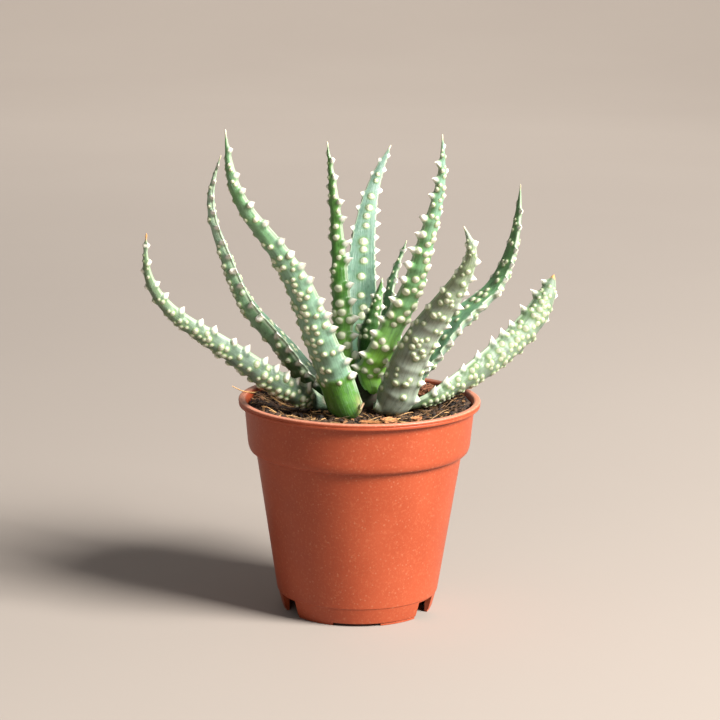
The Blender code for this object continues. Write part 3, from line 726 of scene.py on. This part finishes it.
def leaf_skin_points(form, teeth, tubercles, bands, tooth_scale, seed):
    """Grid of points over a leaf, the masks that colour it, and each column's place across."""
    rows = round(form.length / ROW_PITCH)
    u = np.linspace(0.0, 1.0, rows + 1)
    place, face, angle = section()
    w = form.width_at(u)[:, None]
    full = np.minimum(1.0, w / FULL_WIDTH)
    edge = np.minimum(MARGIN_THICKNESS, 0.3 * w) / 2
    near_tip = (u ** 3)[:, None]
    channel = w * (CHANNEL_SHARE * (1 - near_tip) - TIP_CROWN_SHARE * near_tip)
    flesh = w * (form.flesh * (1 - near_tip) + TIP_FLESH_SHARE * near_tip)
    from_margin = (w / 2) * (1 - np.abs(place))
    toothed = held(u * form.length / form.bare * 2 - 1)[:, None]
    # Teeth: how far each row's margins stand out, and how much of that each column takes
    taken = held(1 - from_margin / TOOTH_REACH) ** 1.4
    lift = -SCALLOP * full * toothed * taken
    tooth = np.zeros(lift.shape)
    for share, way, size in teeth:
        small = form.smallness(share)
        tall = TOOTH_HEIGHT * size * small * tooth_scale[way > 0]
        away = np.abs(u - share) * form.length / (TOOTH_HALF_BASE * (0.5 + 0.5 * small))
        sharp = held(1 - away)
        arc = held(1 - away / TOOTH_SHOULDER) ** 2
        here = (taken * (place * way > 0))
        shoulder = (1 - TOOTH_POINT) * tall + SCALLOP * small
        rise = (TOOTH_POINT * tall * sharp + shoulder * arc)[:, None] * here
        lift = np.maximum(lift, rise - SCALLOP * full * toothed * here)
        tooth = np.maximum(tooth, sharp[:, None] * here)
    thin = 1 - 0.8 * tooth
    inner_depth = edge * thin - channel * (1 - place ** 2)
    outer_depth = -edge * thin - flesh * held(1 - np.abs(place) ** 2.2) ** 0.75
    margin_depth = edge * thin * np.sin(angle)
    depth = np.where(face > 0, inner_depth, np.where(face < 0, outer_depth, margin_depth))
    depth = depth + (channel + flesh) / 2
    bulge = np.where(face == 0, 0.7 * edge * np.cos(angle), 0.0) * np.sign(place)
    # The last rows close the root and the tip
    closing = np.sqrt(held(np.minimum(u, 1 - u) * form.length / CLOSING))[:, None]
    sideways = (place * w / 2 + bulge + np.sign(place) * lift) * closing
    tables = (form.centre, form.across, form.inward, form.along)
    centre, across, inward, forward = (read_at(table, u)[:, None, :] for table in tables)
    points = centre + across * sideways[..., None] + inward * (depth * closing)[..., None]
    points += forward * (TOOTH_LEAN * np.maximum(lift, 0))[..., None]
    # Outward normals of the smooth leaf, which the tubercles rise along
    normal = np.cross(np.gradient(points, axis=1), np.gradient(points, axis=0))
    normal /= np.maximum(np.linalg.norm(normal, axis=2), 1e-9)[..., None]
    middle = centre + inward * ((channel + flesh) / 4)[..., None]
    normal *= np.sign(np.median(np.sum(normal * (points - middle), axis=2)))
    bump = np.zeros(lift.shape)
    halo = np.zeros(lift.shape)
    swell = np.zeros(lift.shape)
    for band in bands:
        ring = np.exp(-((u - band) * form.length / BAND_SPREAD) ** 2)
        swell += BAND_SWELL * full * ring[:, None] * (face < 0) * (1 - place ** 8)
    for share, spot, facing, size in tubercles:
        if not 0 < share < 0.985:
            continue
        small = form.smallness(share)
        radius = TUBERCLE_RADIUS * size * small
        row = int(round(share * rows))
        columns = np.where(face == facing)[0]
        column = columns[np.argmin(np.abs(place[columns] - spot))]
        near = slice(max(0, row - TUBERCLE_ROWS), min(rows, row + TUBERCLE_ROWS) + 1)
        alike = face[None, :] == facing
        away = np.linalg.norm(points[near] - points[row, column], axis=2) / radius
        dome = held(1 - away ** 2) * alike
        bump[near] = np.maximum(bump[near], dome)
        halo[near] = np.maximum(halo[near], np.exp(-(away / HALO_SPREAD) ** 2) * alike)
        cone = held(1 - away) * alike
        rise = (1 - TUBERCLE_POINT) * dome ** 1.5 + TUBERCLE_POINT * cone
        foot = TUBERCLE_FOOT * radius * np.exp(-(away / FOOT_SPREAD) ** 2)
        swell[near] += TUBERCLE_HEIGHT * size * small * rise + foot * alike
    shift = Vector((seed * 7.0, 0, 0))
    ripple = np.array([[noise.noise(Vector(p) / RIPPLE_SPREAD + shift) for p in line[::RIPPLE_STEP]]
                       for line in points[::RIPPLE_STEP]])
    ripple = stretched_grid(ripple, swell.shape) * RIPPLE * held(from_margin / 1.5)
    points = points + normal * ((swell + ripple) * closing)[..., None]
    points += forward * (TUBERCLE_LEAN * swell * bump)[..., None]
    rim = np.where(face == 0, 1.0, np.exp(-(from_margin / 0.35) ** 2)) * toothed
    low = held(1.6 - u * form.length / form.bare * 2)[:, None]
    dry = np.exp(-(from_margin / 0.9) ** 2) * low * (place > 0)
    whole = np.ones(lift.shape)
    masks = dict(
        along=u[:, None] * whole, across=place * whole,
        inner=np.where(face > 0, 1.0, np.where(face == 0, 0.5, 0.0)) * whole,
        tubercle=bump, halo=halo, rim=rim, tooth=tooth, dry=dry)
    return points, masks, place


def stretched_grid(values, shape):
    """A coarse grid of values read smoothly at a finer grid's points."""
    rows = np.linspace(0, values.shape[0] - 1, shape[0])
    columns = np.linspace(0, values.shape[1] - 1, shape[1])
    part = np.stack([np.interp(columns, np.arange(values.shape[1]), line) for line in values])
    return np.stack([np.interp(rows, np.arange(values.shape[0]), part[:, k])
                     for k in range(shape[1])], axis=1)


def make_leaf(name, shape, seed):
    """One leaf as a closed skin: a grid wrapped round the leaf's section and closed at its ends."""
    form = LeafForm(**shape)
    teeth, tubercles = growths(form, seed)
    look = dict(SKINS[name])
    grown = [look.pop(key) for key in ("fill", "size", "high", "inner_rows")]
    tubercles, bands = strewn(form, tubercles, *grown, seed + 100)
    points, masks, place = leaf_skin_points(form, teeth, tubercles, bands, look.pop("teeth"), seed)
    rows, columns = points.shape[0] - 1, points.shape[1] - 1
    bm = bmesh.new()
    bm.loops.layers.uv.new("leaf")
    bmesh.ops.create_grid(bm, x_segments=columns, y_segments=rows, size=0.5, calc_uvs=True)
    mesh = stored(name, bm)
    flat = np.empty(len(mesh.vertices) * 3)
    mesh.vertices.foreach_get("co", flat)
    flat = flat.reshape(-1, 3)
    column = np.rint((flat[:, 0] + 0.5) * columns).astype(int)
    row = np.rint((flat[:, 1] + 0.5) * rows).astype(int)
    mesh.vertices.foreach_set("co", (points[row, column] * MM).ravel())
    for mask, values in masks.items():
        layer = mesh.attributes.new(mask, "FLOAT", "POINT")
        layer.data.foreach_set("value", np.ascontiguousarray(values[row, column], dtype=np.float32))
    # The map's unit is a decimetre both ways, so that streaks are as fine on every leaf
    corner_vertex = np.empty(len(mesh.loops), dtype=np.int32)
    mesh.loops.foreach_get("vertex_index", corner_vertex)
    lateral = place[column] * 0.5 * shape["width"] / DECIMETRE + 0.5
    lengthwise = row / rows * form.length / DECIMETRE
    flat_map = np.stack([lateral[corner_vertex], lengthwise[corner_vertex]], axis=1)
    mesh.uv_layers["leaf"].data.foreach_set("uv", flat_map.ravel())
    bm = bmesh.new()
    bm.from_mesh(mesh)
    border = [vertex for vertex in bm.verts if vertex.is_boundary]
    bmesh.ops.remove_doubles(bm, verts=border, dist=0.00002)
    bmesh.ops.recalc_face_normals(bm, faces=bm.faces)
    bm.to_mesh(mesh)
    bm.free()
    mesh.materials.append(leaf_skin(name, **look))
    mesh.shade_smooth()
    return declare(shown(name.replace("leaf", "aloe_leaf"), mesh), name)


def rounded(corners, segments=5):
    """Profile through corners of (radius, height, rounding), each rounded by a short curve."""
    made = []
    for k, (r, z, rounding) in enumerate(corners):
        here = Vector((r, z))
        if rounding == 0 or k in (0, len(corners) - 1):
            made.append(here)
            continue
        before = Vector(corners[k - 1][:2]) - here
        after = Vector(corners[k + 1][:2]) - here
        start = here + before.normalized() * min(rounding, before.length * 0.48)
        end = here + after.normalized() * min(rounding, after.length * 0.48)
        for step in range(segments + 1):
            t = step / segments
            made.append((1 - t) ** 2 * start + 2 * t * (1 - t) * here + t * t * end)
    return made


def turned(profile, steps, merged=0.0005):
    """Bmesh turned round the upright axis from a profile that starts on it."""
    bm = bmesh.new()
    line = [bm.verts.new((p[0], 0.0, p[1])) for p in profile]
    for a, b in zip(line, line[1:]):
        bm.edges.new((a, b))
    bmesh.ops.spin(bm, geom=list(bm.verts) + list(bm.edges), cent=(0, 0, 0), axis=(0, 0, 1),
                   angle=math.tau, steps=steps, use_merge=True)
    bmesh.ops.remove_doubles(bm, verts=bm.verts, dist=merged)
    bmesh.ops.recalc_face_normals(bm, faces=bm.faces)
    return bm


def make_pot():
    """Moulded pot: double-beaded lip, collar, tapered body with a fine step, notched foot."""
    bead = LIP_HEIGHT / 2
    lip_foot = POT_HEIGHT - LIP_HEIGHT
    floor_top = FLOOR_Z + FLOOR_THICKNESS
    inner_foot = BODY_FOOT_RADIUS - WALL
    corners = [
        (0.0, floor_top, 0),
        (inner_foot, floor_top, 1.2),
        (NECK_RADIUS - WALL, NECK_Z + WALL, 1.0),
        (COLLAR_FOOT_RADIUS - WALL, COLLAR_FOOT_Z + WALL, 1.0),
        (COLLAR_TOP_RADIUS - WALL, lip_foot, 0.8),
        (RIM_RADIUS - 2.4, POT_HEIGHT, 0.9),
        (RIM_RADIUS, POT_HEIGHT, 0.8),
        (RIM_RADIUS, POT_HEIGHT - bead + 0.1, 0.4),
        (RIM_RADIUS - BEAD_GROOVE, POT_HEIGHT - bead, 0.1),
        (RIM_RADIUS - 0.05, POT_HEIGHT - bead - 0.1, 0.4),
        (RIM_RADIUS - 0.1, lip_foot, 0.6),
        (COLLAR_TOP_RADIUS, lip_foot, 0.4),
        (COLLAR_FOOT_RADIUS, COLLAR_FOOT_Z, 1.6),
        (COLLAR_FOOT_RADIUS - 0.9, NECK_Z + 0.1, 1.0),
        (NECK_RADIUS, NECK_Z, 0.5),
        (BODY_FOOT_RADIUS, BODY_FOOT_Z, 0.15),
        (BODY_FOOT_RADIUS - FOOT_STEP, BODY_FOOT_Z - FOOT_STEP, 0.1),
        (FOOT_RADIUS, PAD_HEIGHT, 0.4),
        (FOOT_RADIUS - PAD_INSET, PAD_HEIGHT, 0.0),
        (FOOT_RADIUS - PAD_INSET, 0.0, 0.2),
        (FOOT_RADIUS - WALL - PAD_INSET, 0.0, 0.2),
        (FOOT_RADIUS - WALL - PAD_INSET, FLOOR_Z, 0.3),
        (0.0, FLOOR_Z, 0),
    ]
    bm = turned(rounded(corners), POT_STEPS)
    pot = finish_piece("nursery_pot", bm, pot_plastic(), "pot", POT_CREASE)
    cutter_bm = bmesh.new()
    reach = RIM_RADIUS
    inner_reach = FOOT_RADIUS - NOTCH_REACH
    for k in range(NOTCHES):
        around = k * 360.0 / NOTCHES
        for bearing, angle, top in (
            (around - 90.0 + 180.0 / NOTCHES, NOTCH_ANGLE, NOTCH_HEIGHT),
            (around - 90.0, PAD_GAP_ANGLE, PAD_HEIGHT),
        ):
            width = 2.0 * FOOT_RADIUS * math.sin(math.radians(angle / 2))
            box = (
                Matrix.Rotation(math.radians(bearing), 4, "Z")
                @ Matrix.Translation(((reach + inner_reach) / 2, 0.0, 0.0))
                @ Matrix.Diagonal((reach - inner_reach, width, 2.0 * top, 1.0))
            )
            bmesh.ops.create_cube(cutter_bm, size=1.0, matrix=box)
    cutter = shown("foot_cutter", stored("foot_cutter", cutter_bm, MM))
    cut = pot.modifiers.new("foot notches", "BOOLEAN")
    cut.operation = "DIFFERENCE"
    cut.solver = "EXACT"
    cut.object = cutter
    graph = bpy.context.evaluated_depsgraph_get()
    pot.data = bpy.data.meshes.new_from_object(pot.evaluated_get(graph))
    pot.modifiers.clear()
    bpy.data.objects.remove(cutter, do_unlink=True)
    pot.data.set_sharp_from_angle(angle=math.radians(POT_CREASE))


def ground(x, y):
    """Height of the peat's top: clods and grains, heaped round the stem and against the rim."""
    here = Vector((x, y, 0.0))
    height = sum(tall * noise.noise(here / spread) for tall, spread in LUMPS)
    from_stem = math.hypot(x - STEM_CENTRE[0], y - STEM_CENTRE[1])
    height += STEM_HEAP * math.exp(-(from_stem / STEM_HEAP_REACH) ** 4)
    near_rim = min(1.0, max(0.0, (math.hypot(x, y) - RIM_HEAP_FROM) / RIM_HEAP_RUN))
    from_chips = min(math.hypot(x - chip["at"][0], y - chip["at"][1]) for chip in CHIPS.values())
    height += RIM_HEAP * near_rim * min(1.0, max(0.0, (from_chips - 4.0) / 6.0))
    return SOIL_Z + height


def make_peat():
    """Peat that fills the pot, with a rough top. Returns the radius of its top."""
    clear = WALL + GAP
    floor = FLOOR_Z + FLOOR_THICKNESS + GAP
    slope = (COLLAR_TOP_RADIUS - COLLAR_FOOT_RADIUS) / (POT_HEIGHT - COLLAR_FOOT_Z)
    edge = COLLAR_FOOT_RADIUS + slope * (SOIL_Z - COLLAR_FOOT_Z) - clear
    profile = [Vector((edge * k / SOIL_RINGS, SOIL_Z)) for k in range(SOIL_RINGS + 1)]
    profile += [
        Vector((COLLAR_FOOT_RADIUS - clear, COLLAR_FOOT_Z + clear)),
        Vector((NECK_RADIUS - clear - GAP / 2, NECK_Z + clear)),
        Vector((BODY_FOOT_RADIUS - clear - GAP / 2, floor + WALL)),
        Vector((BODY_FOOT_RADIUS - clear - WALL, floor)),
        Vector((0.0, floor)),
    ]
    bm = turned(profile, SOIL_STEPS)
    for vertex in bm.verts:
        if vertex.co.z > SOIL_Z - 0.1:
            x, y, z = vertex.co
            r = math.hypot(x, y)
            vertex.co.z = ground(x, y) - EDGE_DIP * max(0.0, (r - edge + 1.5) / 1.5)
    finish_piece("peat_fill", bm, peat_earth(), "soil")
    return edge


def gathered(count, add):
    """One bmesh of many small shapes: add(bm, tone) makes one, and batches keep that quick."""
    whole = bmesh.new()
    whole.verts.layers.float.new("tone")
    for first in range(0, count, BATCH):
        bm = bmesh.new()
        tone = bm.verts.layers.float.new("tone")
        for _ in range(min(BATCH, count - first)):
            add(bm, tone)
        mesh = stored("batch", bm)
        whole.from_mesh(mesh)
        bpy.data.meshes.remove(mesh)
    return whole


def make_crumbs(edge):
    """Loose crumbs of peat over the top."""
    rng = random.Random(17)

    def add(bm, tone):
        """One crumb at a random place, of a random size and brown."""
        r = edge * math.sqrt(rng.uniform(0.02, 0.99))
        turn = rng.uniform(0.0, math.tau)
        size = 0.35 + 1.35 * rng.random() ** 3
        x, y = r * math.cos(turn), r * math.sin(turn)
        grain = bmesh.ops.create_icosphere(bm, subdivisions=1, radius=1.0)["verts"]
        own = rng.random()
        squash = (rng.uniform(0.7, 1.5), rng.uniform(0.6, 1.0), rng.uniform(0.4, 0.9))
        squash = Vector(squash) * size
        lean = (rng.uniform(-0.5, 0.5), rng.uniform(-0.5, 0.5), rng.uniform(0, math.tau))
        spin = Euler(lean).to_matrix()
        at = Vector((x, y, ground(x, y) + 0.25 * size))
        for vertex in grain:
            rough = rng.uniform(0.75, 1.15)
            vertex.co = at + spin @ Vector(a * b * rough for a, b in zip(vertex.co, squash))
            vertex[tone] = own

    crumbs = gathered(CRUMBS, add)
    finish_piece("peat_crumbs", crumbs, crumb_earth(), None, smooth=50.0)


def strand(bm, tone, path, thick, own):
    """Tapered fibre along a list of points, closed at both ends."""
    steps = len(path) - 1
    start = len(bm.verts)
    bmesh.ops.create_cone(bm, cap_ends=True, segments=STRAND_SIDES, radius1=1.0, radius2=1.0,
                          depth=1.0)
    bm.verts.ensure_lookup_table()
    edges = {e for v in bm.verts[start:] for e in v.link_edges}
    uprights = [e for e in edges if abs(e.verts[0].co.z - e.verts[1].co.z) > 0.5]
    bmesh.ops.subdivide_edges(bm, edges=uprights, cuts=steps - 1, use_grid_fill=True)
    bm.verts.ensure_lookup_table()
    for vertex in bm.verts[start:]:
        k = round((vertex.co.z + 0.5) * steps)
        ahead = path[min(k + 1, steps)] - path[max(k - 1, 0)]
        turn = ahead.to_track_quat("Z", "X")
        girth = thick * (1.0 - 0.6 * abs(2.0 * k / steps - 1.0) ** 3)
        vertex.co = path[k] + turn @ Vector((vertex.co.x * girth, vertex.co.y * girth, 0.0))
        vertex[tone] = own


def aimed(turn):
    """Level direction at a bearing."""
    return Vector((math.cos(turn), math.sin(turn), 0.0))


def make_fibres(edge):
    """Golden, brown and straw-coloured coir fibres tangled over the peat."""
    rng = random.Random(23)
    long_ones = iter(LONG_FIBRES)

    def add(bm, tone):
        """One of the long fibres, and once they are used up a short one."""
        points, thick, own = next(long_ones, (None, 0, 0))
        if points:
            path, _ = smooth_path(points, samples=24)
            strand(bm, tone, [Vector(point) for point in path], thick, own)
            return
        r = edge * math.sqrt(rng.uniform(0.1, 0.97))
        at = aimed(rng.uniform(0.0, math.tau)) * r
        bearing = rng.uniform(0.0, math.tau)
        length = rng.uniform(2.0, 5.0) + 9.0 * rng.random() ** 3
        bend = rng.uniform(-1.2, 1.2)
        rise = rng.uniform(0.0, 0.35)
        path = []
        for k in range(STRAND_STEPS + 1):
            share = k / STRAND_STEPS
            spot = at + aimed(bearing + bend * share) * (share - 0.5) * length
            over = max(0.0, math.hypot(spot.x, spot.y) - edge + 0.3)
            spot -= Vector((spot.x, spot.y, 0.0)).normalized() * over
            spot.z = ground(spot.x, spot.y) + 0.45 + rise * share * length * 0.5
            path.append(spot)
        strand(bm, tone, path, rng.uniform(0.08, 0.2), rng.random() ** 2.6)

    golden = coir_fibre("golden_coir", (0.050, 0.020, 0.007), (0.80, 0.46, 0.18))
    finish_piece("coir_fibres", gathered(FIBRES, add), golden, None, smooth=70.0)


def make_chip(name, at, size, turn, seed):
    """Broken chip of husk: a bundle of thin fibres that splay at its ends."""
    rng = random.Random(seed)
    bm = bmesh.new()
    tone = bm.verts.layers.float.new("tone")
    spin = Matrix.Rotation(math.radians(turn), 3, "Z")
    for _ in range(CHIP_STRANDS):
        across = rng.uniform(-0.40, 0.40) * size[1]
        high = rng.uniform(0.05, 0.9) * size[2]
        reach = size[0] * rng.uniform(0.30, 0.56)
        shift = rng.uniform(-0.6, 0.6)
        splay = rng.uniform(0.0, 0.35)
        path = []
        for k in range(STRAND_STEPS + 1):
            s = 2 * k / STRAND_STEPS - 1
            aside = across * (1 + splay * s ** 2) + 0.25 * math.sin(3.0 * s + 9.0 * splay)
            lift = high * (1 + 0.5 * splay * abs(s) ** 3)
            path.append(spin @ Vector((s * reach + shift, aside, lift)) + Vector((*at, COIR_Z)))
        strand(bm, tone, path, rng.uniform(0.12, 0.26), rng.random())
    husk = coir_fibre(name + "_husk", (0.13, 0.040, 0.012), (0.66, 0.29, 0.10))
    finish_piece(name.replace("coir", "husk"), bm, husk, name, smooth=70.0)


def make_clod():
    """Reddish clod of coir dust bound by fibres."""
    rng = random.Random(31)
    bm = bmesh.new()
    tone = bm.verts.layers.float.new("tone")
    bmesh.ops.create_icosphere(bm, subdivisions=5, radius=0.5)
    middle = Vector((*CLOD_AT, COIR_Z + CLOD_MIDDLE))
    for vertex in bm.verts:
        place = vertex.co * 9.0
        lump = 0.86 + 0.22 * noise.noise(place * 0.5) + 0.13 * noise.noise(place * 1.4)
        lump += 0.06 * noise.noise(place * 3.5)
        vertex[tone] = 0.3 + 0.5 * noise.noise(place * 2.0)
        co = Vector(v * s * lump for v, s in zip(vertex.co, CLOD_SIZE))
        vertex.co = middle + Vector((co.x, co.y, max(co.z, -CLOD_MIDDLE)))
    for _ in range(CLOD_FIBRES):
        turn = rng.uniform(0.0, math.tau)
        lean = rng.uniform(0.1, 1.4)
        out = aimed(turn) * math.sin(lean) + Vector((0.0, 0.0, math.cos(lean)))
        base = middle + Vector(v * s * 0.42 for v, s in zip(out, CLOD_SIZE))
        any_way = Vector((rng.uniform(-1, 1), rng.uniform(-1, 1), rng.uniform(-1, 1)))
        side = out.cross(any_way).normalized() * rng.uniform(1.5, 4.5)
        path = []
        for k in range(STRAND_STEPS + 1):
            share = k / STRAND_STEPS
            path.append(base + side * (share - 0.5) + out * 0.5 * math.sin(math.pi * share))
        strand(bm, tone, path, rng.uniform(0.10, 0.2), rng.random())
    husk = coir_fibre("red_coir", (0.10, 0.032, 0.014), (0.55, 0.22, 0.09))
    finish_piece("husk_clod", bm, husk, "coir_clod", smooth=50.0)


def make_stem():
    """Short stem with the scars of old leaves."""
    corners = [
        (0.0, STEM_TOP_Z, 0),
        (1.6, STEM_TOP_Z, 0.8),
        (STEM_NECK_RADIUS - 0.4, STEM_NECK_Z + 3.3, 1.5),
        (STEM_NECK_RADIUS, STEM_NECK_Z, 1.5),
        (STEM_RADIUS, STEM_SHOULDER_Z, 1.0),
        (STEM_RADIUS, STEM_TAIL_Z, 1.0),
        (STEM_NECK_RADIUS, STEM_FOOT_Z, 1.0),
        (0.0, STEM_FOOT_Z, 0),
    ]
    bm = turned(rounded(corners), STEM_STEPS)
    bmesh.ops.translate(bm, vec=(*STEM_CENTRE, 0.0), verts=bm.verts)
    finish_piece("crown_stem", bm, stem_bark(), "stem")


def make_stage():
    """Plain pale floor: a wide round bowl whose edge curves up into a wall."""
    corners = [
        (0.0, 0.0, 0.0),
        (FLOOR_RADIUS, 0.0, FLOOR_BEND),
        (FLOOR_RADIUS, WALL_TOP, 0.0),
    ]
    profile = [(r, z - FLOOR_DROP) for r, z in rounded(corners, segments=24)]
    bm = turned(profile, FLOOR_STEPS, merged=0.000001)
    if bm.faces[0].normal.z < 0:
        bmesh.ops.reverse_faces(bm, faces=bm.faces)
    mesh = stored("floor", bm)
    paper = Finish("pale_floor")
    clouds = paper.noise(paper.place(), 3.0, 3.0, 0.5)
    colour = paper.mix(clouds, (0.29, 0.25, 0.218), (0.31, 0.27, 0.235))
    mesh.materials.append(paper.surface(base_color=colour, roughness=0.8))
    mesh.shade_smooth()
    floor = shown("floor", mesh)


def area_light(name, at, target, size, energy, colour):
    """Square soft light at a place in metres, turned to a target."""
    light = bpy.data.lights.new(name, "AREA")
    light.size = size
    light.energy = energy
    light.color = colour
    lamp = shown(name, light)
    lamp.location = at
    lamp.rotation_euler = (Vector(target) - Vector(at)).to_track_quat("-Z", "Y").to_euler()


def make_light():
    """Soft key from the right, very weak fill from the front, a light on the wall, dim surround."""
    middle = (0.0, 0.0, 0.10)
    area_light("key", (1.44, -0.78, 1.25), middle, 0.85, 155.0, (1.0, 0.98, 0.95))
    area_light("fill", (-0.5, -1.9, 1.0), middle, 1.2, 4.0, (0.94, 0.97, 1.0))
    area_light("wall", (0.0, 1.6, 2.4), (0.0, 4.6, 0.6), 1.5, 110.0, (1.0, 0.97, 0.93))
    world = bpy.data.worlds.new("studio")
    world.use_nodes = True
    surround = world.node_tree.nodes["Background"]
    surround.inputs["Color"].default_value = (0.90, 0.93, 1.0, 1.0)
    surround.inputs["Strength"].default_value = 0.30
    bpy.context.scene.world = world
    bpy.context.scene.view_settings.view_transform = "Standard"


def make_camera():
    """Camera at the photograph's viewing angle."""
    lens = bpy.data.cameras.new("camera")
    lens.lens = CAMERA_LENS
    lens.sensor_width = CAMERA_SENSOR
    lens.clip_start = 0.05
    lens.clip_end = 60.0
    camera = shown("camera", lens)
    camera.matrix_world = (
        Matrix.Translation(Vector(CAMERA_AT) * MM)
        @ Matrix.Rotation(math.radians(90.0 - CAMERA_PITCH), 4, "X")
        @ Matrix.Rotation(math.radians(CAMERA_ROLL), 4, "Z")
    )
    bpy.context.scene.camera = camera


make_camera()
make_light()
make_stage()
make_pot()
peat_edge = make_peat()
make_crumbs(peat_edge)
make_fibres(peat_edge)
make_stem()
for seed, (name, shape) in enumerate(LEAVES.items(), start=1):
    make_leaf(name, shape, seed)
for seed, (name, chip) in enumerate(CHIPS.items(), start=41):
    make_chip(name, seed=seed, **chip)
make_clod()

bpy.context.view_layer.update()
